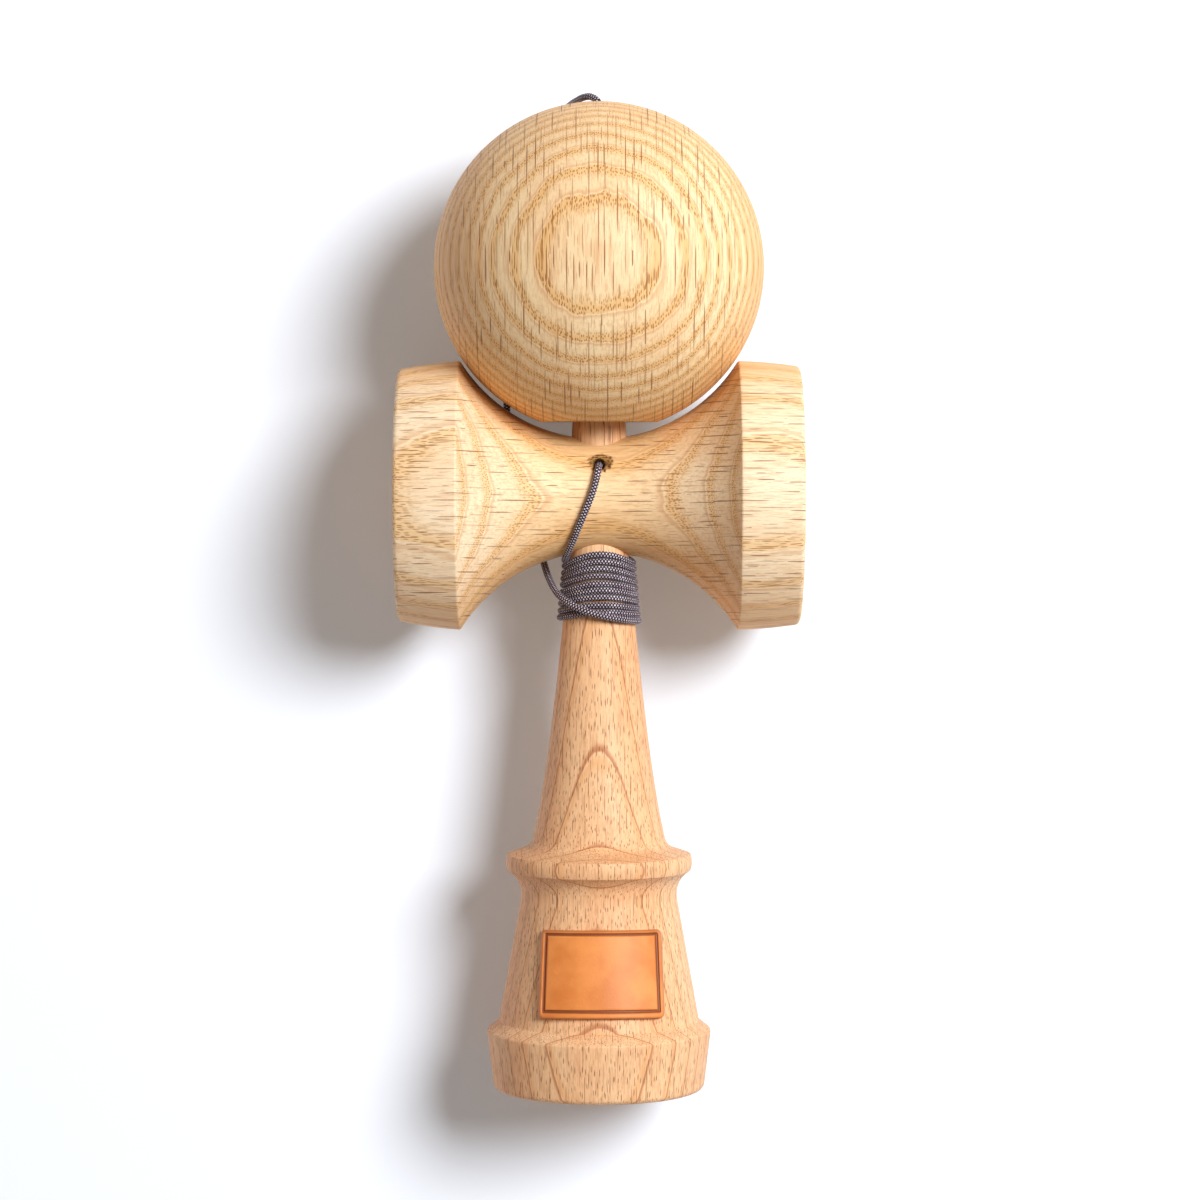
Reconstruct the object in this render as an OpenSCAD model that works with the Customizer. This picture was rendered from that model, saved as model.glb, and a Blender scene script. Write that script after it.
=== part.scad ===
// Kendama: a turned handle with a spike and a base cup, a cross piece with two cups, a bored ball,
// one string wound round the handle's neck, the bead that holds it in the ball, and a leather patch.
// It lies on its back on a table with the spike end towards +Y. Millimetres, +Z up.
// The origin is on the table, under the middle of the wooden pieces.

/* [Ball] */
// Radius of the ball
ball_r = 30; // [29.5:0.1:30.5]
// Radius of the bore that takes the spike
bore_r = 10.2; // [10:0.1:11]
// Bevel round the mouth of the bore
mouth_bevel = 0.5; // [0.2:0.1:1]
// Length of the bore's straight wall, from its mouth
bore_depth = 42; // [41:0.5:44]
// Half angle of the bore's conical end
bore_end_angle = 59; // [52:1:66]
// Diameter of the string hole through the far end of the ball
ball_hole_d = 2.6; // [2.2:0.1:3]
// Bevel round the string hole
ball_hole_bevel = 1.1; // [0.9:0.1:1.5]
// Gap between the ball and the two cup edges that it leans on
seat_gap = 0.6; // [0.3:0.1:0.8]

/* [Cross piece] */
// Half the length of the cross piece, from its middle to a cup's rim
cross_half = 36.7; // [34:0.1:40]
// Distance of each widest edge from the middle
edge_x = 25.4; // [24.5:0.1:26.5]
// Radius at each widest edge, before it is rounded
edge_r = 24.6; // [24:0.1:25.5]
// Rounding of the widest edges
edge_round = 0.5; // [0.3:0.1:0.8]
// Radius at the rim of the big cup
big_rim_r = 23; // [22.3:0.1:23.5]
// Radius at the rim of the small cup
small_rim_r = 23.6; // [22.6:0.1:23.7]
// Rounding of the rims
rim_round = 1; // [0.5:0.1:1.3]
// Swell of the band between a widest edge and its rim
band_swell = 0.2; // [0.1:0.05:0.25]
// Radius at the waist
waist_r = 10.4; // [9.8:0.1:10.8]
// Inner radius of the big cup at its rim
big_cup_r = 20.5; // [19:0.1:20.8]
// Depth of the big cup
big_cup_depth = 10; // [8:0.5:12]
// Inner radius of the small cup at its rim
small_cup_r = 18; // [17:0.1:18.8]
// Depth of the small cup
small_cup_depth = 8; // [6.5:0.5:9.5]
// Rounding of the lips of all three cups
lip_round = 0.6; // [0.3:0.1:0.8]
// Diameter of the string hole through the cross piece and the handle
lead_hole_d = 2.8; // [2.4:0.1:3.2]
// Bevel round the string hole
lead_hole_bevel = 0.9; // [0.6:0.1:1.2]
// Height of the string hole above the cross piece's axis
lead_hole_rise = 5.6; // [5.2:0.1:6]

/* [Handle] */
// Height of the spike's tip above the base
ken_h = 158.7; // [154:0.1:159.2]
// Height of the cross piece's axis above the base
cross_h = 109.2; // [108:0.1:112]
// Inner radius of the base cup at its rim
base_cup_r = 16; // [15:0.1:16.6]
// Depth of the base cup
base_cup_depth = 8; // [6:0.5:9.5]
// Radius of the base band at its bottom, before it is rounded
base_r = 19.3; // [18.8:0.1:20]
// Radius of the base band at its top, before it is rounded
band_r = 20.6; // [20.1:0.1:21.2]
// Height of the base band
band_h = 10.9; // [9.8:0.1:11.5]
// Rounding of the base band's two edges
base_round = 1.2; // [0.8:0.1:1.4]
// Radius of the barrel at its foot
foot_r = 18.4; // [17.8:0.1:19]
// Height of the barrel's foot
foot_h = 12.7; // [12.3:0.1:13.6]
// Radius of the barrel at its top
barrel_r = 14.45; // [13.9:0.05:14.9]
// Height of the barrel's top
barrel_h = 34.6; // [33.8:0.1:35.2]
// Radius that the hollow under the ring is drawn towards
hollow_r = 13.7; // [13.2:0.1:14.2]
// Height that the hollow under the ring is drawn towards
hollow_h = 38.4; // [37.8:0.1:39]
// Largest radius of the ring
ring_r = 17.1; // [16.9:0.1:18]
// Radius of the ring at its two edges
ring_edge_r = 16.85; // [16.3:0.05:16.95]
// Height of the ring's lower edge
ring_low_h = 40.4; // [39.6:0.1:41]
// Height of the ring's upper edge
ring_high_h = 43.3; // [42.7:0.1:44.2]
// Radius of the grip at its foot, on the ring
grip_foot_r = 12.5; // [12:0.1:13.5]
// Height of the grip's foot
grip_foot_h = 44.8; // [44.5:0.1:46.2]
// Rounding of the corner between ring and grip
grip_foot_round = 2.6; // [1.5:0.1:3]
// Radius that the grip's curve is drawn towards
grip_pull_r = 9.2; // [8.8:0.1:9.6]
// Height that the grip's curve is drawn towards
grip_pull_h = 57.2; // [55:0.1:60]
// Radius of the neck where the cross piece's seat begins
neck_r = 5.55; // [5.4:0.05:5.7]
// Radius of the spike where the cross piece's seat ends
spike_r = 4.95; // [4.6:0.05:5.1]
// Half the length of the tapered seat
seat_half = 12; // [11:0.5:13]
// Radius of the spike's rounded tip
tip_r = 2.4; // [1.6:0.1:2.8]

/* [Leather patch] */
// Width of the patch along its upper edge, seen from the front
patch_top_w = 21.8; // [18:0.1:23]
// Width of the patch along its lower edge, seen from the front
patch_low_w = 23; // [19:0.1:24]
// Height of the patch's lower edge above the base, at its middle
patch_low_h = 15.5; // [14.5:0.1:17]
// Height of the patch's upper edge above the base, at its middle
patch_top_h = 31.1; // [29:0.1:32]
// Drop of the patch's corners below the middles of its edges, where it wraps the cone
patch_sag = 0.4; // [0.1:0.1:0.8]
// Distance of the patch to the right of the handle's front
patch_shift = 0.4; // [-1:0.1:1]
// Thickness of the leather
patch_t = 1.3; // [0.9:0.1:1.8]
// Rounding of the patch's corners
patch_round = 1; // [0.6:0.1:2]
// Distance of the pressed border line from the patch's edge
border_inset = 0.75; // [0.6:0.05:2]
// Distance of the border line above the middle of the patch
border_lift = 0.35; // [-0.4:0.05:0.4]
// Width of the pressed border line
border_w = 0.5; // [0.3:0.1:1]
// Depth of the pressed border line
border_depth = 0.35; // [0.2:0.05:0.6]

/* [String] */
// Diameter of the string
string_d = 1.3; // [1.1:0.1:1.4]
// Diameter of the string's tube in the winding, drawn thinner so that its turns stay apart
wound_d = 0.72; // [0.5:0.02:0.74]
// Turns of the winding
wound_turns = 9.5; // [8.5:1:10.5]
// Fall of the winding for each turn
wound_pitch = 1.24; // [1.23:0.01:1.3]
// Depth of the winding's start below the cross piece's axis
wound_drop = 10.7; // [10.6:0.1:11.2]
// Rise and fall of the first turn, which nests under the round waist
wound_wave = 1.08; // [0.8:0.02:1.1]
// Share of that rise and fall that each turn loses
wave_fade_share = 0.066; // [0.05:0.002:0.07]
// Radius of the bead inside the ball
bead_r = 3.5; // [3:0.1:3.8]
// Gap between the bead and the ball
bead_gap = 0.3; // [0.2:0.05:0.5]
// Gap between the string and the hole in the bead
bead_hole_gap = 0.1; // [0.05:0.05:0.3]
// Radius of the two end knots
knot_r = 1.9; // [1.6:0.1:2]
// Length of the two end knots
knot_len = 2.9; // [2.4:0.1:3]
// Rounding of the knots
knot_round = 0.9; // [0.5:0.1:1.2]
// Gap between a knot and what it pulls against
knot_gap = 0.1; // [0.05:0.05:0.2]

/* [Hidden] */
$fn = 96;

// How far a cut runs past the face that it opens
overrun = 2;
// Gap between the handle's taper and the hole that it is pressed into
taper_gap = 0.02;
// Gap between the patch and the barrel, filled by its glue
glue_gap = 0.02;
// Gap between the knot and the wall of its pocket
pocket_gap = 0.3;
// Height above the ball's middle at which the string leaves its straight hole
string_end_h = 28.1;
// Gap between the string's run and the stretch of it that goes with the ball
end_gap = 0.3;

// Steps along each kind of round outline
round_steps = 5;
dish_steps = 14;
waist_steps = 24;
swell_steps = 4;
bow_steps = 6;
grip_steps = 24;
ring_steps = 8;
tip_steps = 6;

// Steps along the string and sides of its tubes
spline_steps = 2;
turn_rings = 24;
free_sides = 8;
wound_sides = 6;

// Plane geometry

function unit(v) = v / norm(v);

function turned(v, a) = [v.x * cos(a) - v.y * sin(a), v.x * sin(a) + v.y * cos(a)];

// Angle at corner p between a and b, halved
function half_angle(a, p, b) = acos(unit(a - p) * unit(b - p)) / 2;

// Middle of the round of radius r at corner p between a and b
function round_middle(a, p, b, r) =
  p + unit(unit(a - p) + unit(b - p)) * r / sin(half_angle(a, p, b));

// Points of that round, from the side of a to the side of b
function round_points(a, p, b, r) =
  let (
    reach = r / tan(half_angle(a, p, b)),
    middle = round_middle(a, p, b, r),
    first = p + unit(a - p) * reach - middle,
    last = p + unit(b - p) * reach - middle,
    sweep = atan2(first.x * last.y - first.y * last.x, first * last)
  )
  [for (i = [0:round_steps]) middle + turned(first, sweep * i / round_steps)];

// Outline through corners [x, y, radius of the round there]
function rounded(corners) = [
  for (i = [0:len(corners) - 1])
    let (
      c = corners[i],
      a = corners[(i + len(corners) - 1) % len(corners)],
      b = corners[(i + 1) % len(corners)]
    )
    each c[2] == 0 ? [[c.x, c.y]] : round_points([a.x, a.y], [c.x, c.y], [b.x, b.y], c[2])
];

// Points from a to c on the curve that is drawn towards b
function curve(a, b, c, steps) = [
  for (i = [0:steps])
    let (s = i / steps)
    (1 - s) * (1 - s) * a + 2 * s * (1 - s) * b + s * s * c
];

// Points [radius, depth in from the rim] of a round dish, from its deepest point to its rim
function dish(rim, depth) =
  let (
    dish_r = (rim * rim + depth * depth) / (2 * depth),
    rim_angle = asin(rim / dish_r)
  )
  [
    for (i = [0:dish_steps])
      let (a = rim_angle * i / dish_steps)
      [dish_r * sin(a), depth - dish_r * (1 - cos(a))]
  ];

// List without its first and last entries
function inner(list) = [for (i = [1:len(list) - 2]) list[i]];

// List without its last entry
function all_but_last(list) = [for (i = [0:len(list) - 2]) list[i]];

function reversed(list) = [for (i = [len(list) - 1:-1:0]) list[i]];

// Plain points as corners with no round
function sharp(points) = [for (p = points) [p.x, p.y, 0]];

// Cross piece outline: [radius, distance along its axis]

waist_arc_r = (edge_x * edge_x + (edge_r - waist_r) * (edge_r - waist_r)) / (2 * (edge_r - waist_r));
waist_arc_angle = asin(edge_x / waist_arc_r);
waist_curve = [
  for (i = [waist_steps:-1:0])
    let (a = waist_arc_angle * i / waist_steps)
    [waist_r + waist_arc_r * (1 - cos(a)), waist_arc_r * sin(a)]
];
function band_curve(rim_r) =
  let (pull = [(rim_r + edge_r) / 2 + 2 * band_swell, (cross_half + edge_x) / 2])
  curve([rim_r, cross_half], pull, [edge_r, edge_x], swell_steps);

// Half of the outline, from the bottom of its cup to the middle of the waist
function cross_side(cup_r, cup_depth, rim_r) = concat(
  sharp([for (p = all_but_last(dish(cup_r, cup_depth))) [p.x, cross_half - p.y]]),
  [[cup_r, cross_half, lip_round]],
  [[rim_r, cross_half, rim_round]],
  sharp(inner(band_curve(rim_r))),
  [[edge_r, edge_x, edge_round]],
  sharp(inner(waist_curve))
);

function mirrored(corners) = [for (c = reversed(corners)) [c.x, -c.y, c[2]]];

cross_outline = concat(
  cross_side(small_cup_r, small_cup_depth, small_rim_r),
  [[waist_r, 0, 0]],
  mirrored(cross_side(big_cup_r, big_cup_depth, big_rim_r))
);

// Rounded widest edges, on which the cross piece lies and the ball leans
edge_middles = [
  for (rim_r = [big_rim_r, small_rim_r])
    round_middle(band_curve(rim_r)[swell_steps - 1], [edge_r, edge_x], waist_curve[1], edge_round)
];
axis_h = max([for (m = edge_middles) m.x]) + edge_round;

// Handle outline: [radius, height above the base]

neck_h = cross_h - seat_half;
seat_top_h = cross_h + seat_half;
grip_curve = curve(
  [grip_foot_r, grip_foot_h], [grip_pull_r, grip_pull_h], [neck_r, neck_h], grip_steps
);
hollow_curve = curve(
  [barrel_r, barrel_h], [hollow_r, hollow_h], [ring_edge_r, ring_low_h], ring_steps
);
ring_pull = [2 * ring_r - ring_edge_r, (ring_low_h + ring_high_h) / 2];
ring_curve = curve([ring_edge_r, ring_low_h], ring_pull, [ring_edge_r, ring_high_h], ring_steps);
tip_curve = [
  for (i = [0:tip_steps])
    let (a = 90 * i / tip_steps)
    [tip_r * cos(a), ken_h - tip_r + tip_r * sin(a)]
];

ken_outline = concat(
  sharp(all_but_last(dish(base_cup_r, base_cup_depth))),
  [[base_cup_r, 0, lip_round]],
  [[base_r, 0, base_round]],
  [[band_r, band_h, base_round]],
  [[foot_r, foot_h, 0]],
  sharp(hollow_curve),
  sharp(inner(ring_curve)),
  [[ring_edge_r, ring_high_h, 0]],
  [[grip_foot_r, grip_foot_h, grip_foot_round]],
  sharp([for (i = [2:grip_steps]) grip_curve[i]]),
  [[spike_r, seat_top_h, 0]],
  sharp(tip_curve)
);

// Radius of the grip at height h
function grip_radius(h) = lookup(h, [for (p = grip_curve) [p.y, p.x]]);

// Radius of the tapered seat at height h, carried on past its ends
seat_slope_share = (spike_r - neck_r) / (2 * seat_half);
function seat_radius(h) = neck_r + seat_slope_share * (h - neck_h);

// Radius of the barrel's cone at height h, carried on past its ends
barrel_slope_share = (barrel_r - foot_r) / (barrel_h - foot_h);
barrel_lean_share = norm([1, barrel_slope_share]);
function barrel_radius(h) = foot_r + barrel_slope_share * (h - foot_h);

// How the pieces lie on the table

// The handle leans until its base band and the cross piece's edges lie on the same plane
band_middle = round_middle([base_r, 0], [band_r, band_h], [foot_r, foot_h], base_round);
band_back = cross_h - band_middle.y;
lay_tilt = asin((axis_h - base_round) / norm([band_back, band_middle.x])) - atan2(band_middle.x, band_back);

// The ball lies on the table and leans on the widest edges of the cross piece, or a small one on its waist
function lean_on(p, reach) = abs(p.y) < reach ? p.x + sqrt(reach * reach - p.y * p.y) : 0;
ball_lean = max(concat(
  [for (m = edge_middles) lean_on(m, ball_r + seat_gap + edge_round)],
  [for (i = [1:waist_steps]) lean_on(waist_curve[i], ball_r + seat_gap)]
));
ball_ahead = sqrt(pow(ball_lean, 2) - pow(ball_r - axis_h, 2));

// Reach of the base behind the cross piece, which centres the whole on the origin
base_middle = round_middle([base_cup_r, 0], [base_r, 0], [band_r, band_h], base_round);
base_reach = (cross_h - base_middle.y) * cos(lay_tilt) + base_middle.x * sin(lay_tilt) + base_round;
cross_y = (base_reach - ball_ahead - ball_r) / 2;
ball_y = cross_y + ball_ahead;

// Place on the table of a point [right, front, above the axis] of a piece whose axis leans the same way
function laid(p, y, h) = [
  p[0],
  y + p[2] * cos(lay_tilt) - p[1] * sin(lay_tilt),
  h + p[2] * sin(lay_tilt) + p[1] * cos(lay_tilt)
];

// Lays a piece that stands up on z, its front towards -y, with its level h at that place
module lay(y, h, level = 0) {
  translate([0, y, h])
    rotate([lay_tilt - 90, 0, 0])
      translate([0, 0, -level])
        children();
}

// Ball's bore, heights from the ball's middle
mouth_r = bore_r + mouth_bevel;
mouth_h = -sqrt(ball_r * ball_r - mouth_r * mouth_r);
bore_end_h = mouth_h + bore_depth;
ball_hole_r = ball_hole_d / 2;
bore_tip_h = bore_end_h + bore_r / tan(bore_end_angle);
hole_start_h = bore_tip_h - ball_hole_r / tan(bore_end_angle);
hole_mouth_r = ball_hole_r + ball_hole_bevel;
hole_mouth_h = sqrt(ball_r * ball_r - hole_mouth_r * hole_mouth_r);
bead_h = bore_tip_h - (bead_r + bead_gap) / sin(bore_end_angle);
ball_knot_h = bead_h - bead_r - knot_gap - knot_len;

// String route

string_r = string_d / 2;
lead_hole_r = lead_hole_d / 2;
pocket_r = knot_r + pocket_gap;
pocket_depth = knot_len + pocket_gap;
lead_h = cross_h + lead_hole_rise;
pocket_floor = pocket_depth - seat_radius(lead_h);

// Winding: centre of the string after s turns, as [right, front, above the cross piece's axis].
// It starts at the left, goes behind first, and rises where it nests under the round waist.
function wound_point(s) =
  let (
    a = -90 - 360 * s,
    wave = wound_wave * (1 - wave_fade_share * s),
    w = -wound_drop - wound_pitch * s + wave * cos(2 * a),
    r = grip_radius(cross_h + w) + string_r
  )
  [r * sin(a), r * cos(a), w];
wound_rings = wound_turns * turn_rings;
wound_turns_points = [for (i = [0:wound_rings]) wound_point(i / turn_rings)];
wound_in = wound_turns_points[0] - wound_turns_points[1];
wound_out = wound_turns_points[wound_rings] - wound_turns_points[wound_rings - 1];
wound_first = wound_turns_points[0] + unit(wound_in) * wound_d;
wound_last = wound_turns_points[wound_rings] + unit(wound_out) * wound_d;
wound_path = concat([wound_first], wound_turns_points, [wound_last]);

// Least gap between turns, measured from each ring to those about a turn further on
wound_gap = min([
  for (i = [0:wound_rings - turn_rings])
    for (j = [i + 3 * turn_rings / 4:min(i + 5 * turn_rings / 4, wound_rings)])
      norm(wound_turns_points[i] - wound_turns_points[j])
]) - wound_d;
echo(least_gap_between_turns = wound_gap);

// Lead: out of the string hole and down over the waist to the winding, as [right, front, above the axis]
lead_route = [
  [0, 6, lead_hole_rise],
  [-0.1, 9.8, 5],
  [-0.5, 11, 3],
  [-1.2, 11.5, 0.6],
  [-2.2, 11.4, -2],
  [-3.4, 10.5, -4.9],
  [-4.6, 8.8, -7.8],
  [-5.6, 6.4, -10.2],
  [-6.2, 3.4, -11.6],
];

// Run: from the winding over its own turns to its left, round behind the waist, as [right, front, above the axis]
cross_over_route = [
  [6.6, 3.5, -22.8],
  [4.5, 6.2, -22.5],
  [2, 7.8, -22],
  [-0.6, 8.4, -21.4],
  [-3, 8.2, -20.6],
  [-5.2, 7, -19.6],
  [-7, 5, -18.4],
  [-8.2, 2.4, -17],
  [-9.3, -1.8, -15],
  [-10.2, -6.2, -12.6],
  [-11.1, -10.8, -9],
];

// Along the table, as [x, y, z]
table_route = [
  [-12.5, 16, 9.9],
  [-14.4, 22, 5],
  [-16.2, 28, 1.8],
  [-17.4, 35, 0.7],
  [-17.5, 43, 0.7],
  [-17, 51, 0.7],
  [-16.4, 59, 0.7],
  [-15.8, 67, 0.7],
  [-14.7, 74.5, 0.7],
  [-12.9, 81, 0.8],
  [-10.6, 85.8, 1.5],
  [-8.4, 88.9, 3.6],
];

// Up behind the ball and over into its string hole, as [right, front, along the bore from the ball's middle]
ball_end_route = [
  [-6.6, -22.2, 30.2],
  [-5.2, -16, 31],
  [-4.2, -9.4, 31],
  [-2.9, -4.6, 31.2],
  [-1.5, -2, 31.1],
  [-0.3, -0.4, 30.2],
  [0, 0, 29.3],
  [0, 0, string_end_h + end_gap],
];

// Points on a smooth curve through a route
function spline_point(a, b, c, d, s) =
  b + ((c - a) * s + (2 * a - 5 * b + 4 * c - d) * s * s + (3 * b - a - 3 * c + d) * s * s * s) / 2;

function spline(route) =
  let (last = len(route) - 1)
  concat(
    [
      for (i = [0:last - 1])
        let (
          before = i == 0 ? 2 * route[0] - route[1] : route[i - 1],
          after = i == last - 1 ? 2 * route[last] - route[last - 1] : route[i + 2]
        )
        for (k = [0:spline_steps - 1])
          spline_point(before, route[i], route[i + 1], after, k / spline_steps)
    ],
    [route[last]]
  );

lead_path = [
  for (p = spline(concat(
    [[0, pocket_floor, lead_hole_rise]],
    lead_route,
    [wound_first]
  )))
    laid(p, cross_y, axis_h)
];
run_path = spline(concat(
  [laid(wound_last, cross_y, axis_h)],
  [for (p = cross_over_route) laid(p, cross_y, axis_h)],
  table_route,
  [for (p = ball_end_route) laid(p, ball_y, ball_r)]
));
laid_winding = [for (p = wound_path) laid(p, cross_y, axis_h)];

// Swept tubes

function tangent(path, i) = unit(path[min(i + 1, len(path) - 1)] - path[max(i - 1, 0)]);

function square_to(v, t) = unit(v - (v * t) * t);

// One side direction for each point of the path, carried along without twist
function side_directions(path) = [
  for (
    i = 0, side = square_to([1, 1, 0], tangent(path, 0));
    i < len(path);
    i = i + 1, side = square_to(side, tangent(path, min(i, len(path) - 1)))
  )
    side
];

module tube(path, d, sides) {
  side = side_directions(path);
  last = len(path) - 1;
  points = [
    for (i = [0:last])
      let (up = cross(tangent(path, i), side[i]))
      for (k = [0:sides - 1])
        path[i] + d / 2 * (side[i] * cos(360 * k / sides) + up * sin(360 * k / sides))
  ];
  walls = [
    for (i = [0:last - 1])
      for (k = [0:sides - 1])
        let (
          a = i * sides + k,
          b = i * sides + (k + 1) % sides
        )
        each [[a, a + sides, b], [b, a + sides, b + sides]]
  ];
  first_cap = [for (k = [1:sides - 2]) [0, k, k + 1]];
  last_cap = [for (k = [1:sides - 2]) [last * sides, last * sides + k + 1, last * sides + k]];
  polyhedron(points, concat(walls, first_cap, last_cap), convexity = 10);
}

// Wooden pieces

module string_bore(length, reach) {
  rotate([90, 0, 0])
    translate([0, 0, reach])
      cylinder(r = lead_hole_r, h = length);
}

module ken() {
  color("#d9a978")
    lay(cross_y, axis_h, cross_h)
      difference() {
        rotate_extrude()
          polygon(rounded(ken_outline));
        translate([0, 0, lead_h])
          string_bore(neck_r - pocket_floor + overrun, pocket_floor - taper_gap);
        translate([0, neck_r + overrun, lead_h])
          rotate([90, 0, 0])
            cylinder(r = pocket_r, h = neck_r + overrun + pocket_floor);
      }
}

module sarado() {
  color("#e0bd8a")
    lay(cross_y, axis_h, cross_h)
      difference() {
        translate([0, 0, cross_h])
          rotate([0, 90, 0])
            rotate_extrude()
              polygon(rounded(cross_outline));
        translate([0, 0, neck_h])
          cylinder(
            r1 = seat_radius(neck_h) + taper_gap,
            r2 = seat_radius(seat_top_h) + taper_gap,
            h = 2 * seat_half
          );
        translate([0, 0, lead_h]) {
          string_bore(waist_r + overrun, 0);
          lead_bevel();
        }
      }
}

// Bevel round the string hole, where the waist's front face is at that height
module lead_bevel() {
  face = sqrt(waist_r * waist_r - lead_hole_rise * lead_hole_rise);
  rotate([90, 0, 0])
    translate([0, 0, face - lead_hole_bevel])
      cylinder(r1 = lead_hole_r, r2 = lead_hole_r + lead_hole_bevel + overrun, h = lead_hole_bevel + overrun);
}

module tama() {
  color("#e3bf8c")
    lay(ball_y, ball_r)
      difference() {
        sphere(r = ball_r);
        rotate_extrude()
          polygon([
            [0, -ball_r - overrun],
            [mouth_r + overrun, -ball_r - overrun],
            [mouth_r + overrun, mouth_h - overrun],
            [bore_r, mouth_h + mouth_bevel],
            [bore_r, bore_end_h],
            [ball_hole_r, hole_start_h],
            [ball_hole_r, hole_mouth_h - ball_hole_bevel],
            [hole_mouth_r + ball_r + overrun - hole_mouth_h, ball_r + overrun],
            [0, ball_r + overrun],
          ]);
      }
}

// Leather patch

// Points between two corners of the patch, on an edge that is bowed where it wraps the cone
function bowed_edge(half, h) =
  inner(curve([-half, h - patch_sag], [0, h + patch_sag], [half, h - patch_sag], bow_steps));

// Outline of the patch from the front, drawn in from its edge and lifted
function patch_outline(inset, lift, corner_round) =
  let (
    low_half = patch_low_w / 2 - inset,
    top_half = patch_top_w / 2 - inset,
    low = patch_low_h + inset + lift,
    top = patch_top_h - inset + lift
  )
  rounded(concat(
    [[-low_half, low - patch_sag, corner_round]],
    sharp(bowed_edge(low_half, low)),
    [[low_half, low - patch_sag, corner_round]],
    [[top_half, top - patch_sag, corner_round]],
    sharp(reversed(bowed_edge(top_half, top))),
    [[-top_half, top - patch_sag, corner_round]]
  ));

module patch_prism(inset, lift, corner_round) {
  translate([patch_shift, 0, 0])
    rotate([90, 0, 0])
      linear_extrude(foot_r + patch_t + overrun)
        polygon(patch_outline(inset, lift, corner_round));
}

// Cone that stands off the barrel's face by a gap
module barrel_cone(gap) {
  low = foot_h - overrun;
  high = barrel_h + overrun;
  translate([0, 0, low])
    cylinder(
      r1 = barrel_radius(low) + gap * barrel_lean_share,
      r2 = barrel_radius(high) + gap * barrel_lean_share,
      h = high - low
    );
}

module leather_patch() {
  color("#c9793f")
    lay(cross_y, axis_h, cross_h)
      difference() {
        intersection() {
          barrel_cone(glue_gap + patch_t);
          patch_prism(0, 0, patch_round);
        }
        barrel_cone(glue_gap);
        difference() {
          patch_prism(border_inset, border_lift, 0);
          patch_prism(border_inset + border_w, border_lift, 0);
          barrel_cone(glue_gap + patch_t - border_depth);
        }
      }
}

// String, knots and bead

module knot() {
  rotate_extrude()
    polygon(rounded([
      [0, 0, 0],
      [knot_r, 0, knot_round],
      [knot_r, knot_len, knot_round],
      [0, knot_len, 0],
    ]));
}

module ken_knot() {
  color("#5d5360")
    lay(cross_y, axis_h, cross_h)
      translate([0, knot_len - pocket_floor, lead_h])
        rotate([90, 0, 0])
          knot();
}

module string_lead() {
  color("#6a5f6b")
    tube(lead_path, string_d, free_sides);
}

module string_winding() {
  color("#6a5f6b")
    tube(laid_winding, wound_d, wound_sides);
}

module string_run() {
  color("#6a5f6b")
    tube(run_path, string_d, free_sides);
}

module string_end() {
  color("#6a5f6b")
    lay(ball_y, ball_r)
      translate([0, 0, ball_knot_h + knot_len])
        cylinder(r = string_r, h = string_end_h - ball_knot_h - knot_len);
}

module string_bead() {
  color("#b98a56")
    lay(ball_y, ball_r)
      translate([0, 0, bead_h])
        difference() {
          sphere(r = bead_r);
          cylinder(r = string_r + bead_hole_gap, h = 2 * bead_r + 2 * overrun, center = true);
        }
}

module ball_knot() {
  color("#5d5360")
    lay(ball_y, ball_r)
      translate([0, 0, ball_knot_h])
        knot();
}

ken();
sarado();
tama();
leather_patch();
ken_knot();
string_lead();
string_winding();
string_run();
string_end();
string_bead();
ball_knot();
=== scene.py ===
import math
from collections import namedtuple

import bmesh
import bpy
import numpy as np
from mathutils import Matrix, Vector


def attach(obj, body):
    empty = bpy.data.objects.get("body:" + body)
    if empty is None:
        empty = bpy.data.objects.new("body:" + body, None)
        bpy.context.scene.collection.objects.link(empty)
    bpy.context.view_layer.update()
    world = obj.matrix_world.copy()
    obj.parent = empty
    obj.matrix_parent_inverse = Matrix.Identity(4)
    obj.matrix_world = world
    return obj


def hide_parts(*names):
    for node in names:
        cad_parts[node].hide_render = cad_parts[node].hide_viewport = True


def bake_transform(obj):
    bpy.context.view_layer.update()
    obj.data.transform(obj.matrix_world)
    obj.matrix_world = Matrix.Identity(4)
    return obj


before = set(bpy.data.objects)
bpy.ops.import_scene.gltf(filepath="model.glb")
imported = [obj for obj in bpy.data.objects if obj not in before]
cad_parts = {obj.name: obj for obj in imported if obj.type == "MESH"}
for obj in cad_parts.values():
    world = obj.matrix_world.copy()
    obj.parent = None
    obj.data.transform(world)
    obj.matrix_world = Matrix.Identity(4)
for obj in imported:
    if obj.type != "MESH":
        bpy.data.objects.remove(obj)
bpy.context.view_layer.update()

MM = 0.001

# Lengths of the part, in millimetres, as its source has them
LAY_TILT = math.radians(2.36428)
AXIS_H = 24.5903
CROSS_Y = 19.28
BALL_Y = 60.5803
BALL_R = 30.0
KEN_H = 158.7
CROSS_H = 109.2
STRING_D = 1.3
WAIST_R = 10.4

# Corners of the handle: radius and height above its foot
BARREL_FOOT, BARREL_TOP, HOLLOW_PULL = (18.4, 12.7), (14.45, 34.6), (13.7, 38.4)
RING_LOW, RING_PULL, RING_HIGH = (16.85, 40.4), (17.35, 41.85), (16.85, 43.3)
GRIP_FOOT, GRIP_PULL = (12.5, 44.8), (9.2, 57.2)
SEAT_LOW, SEAT_TOP, SEAT_HALF = (5.55, 97.2), (4.95, 121.2), 12.0


# Places


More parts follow.
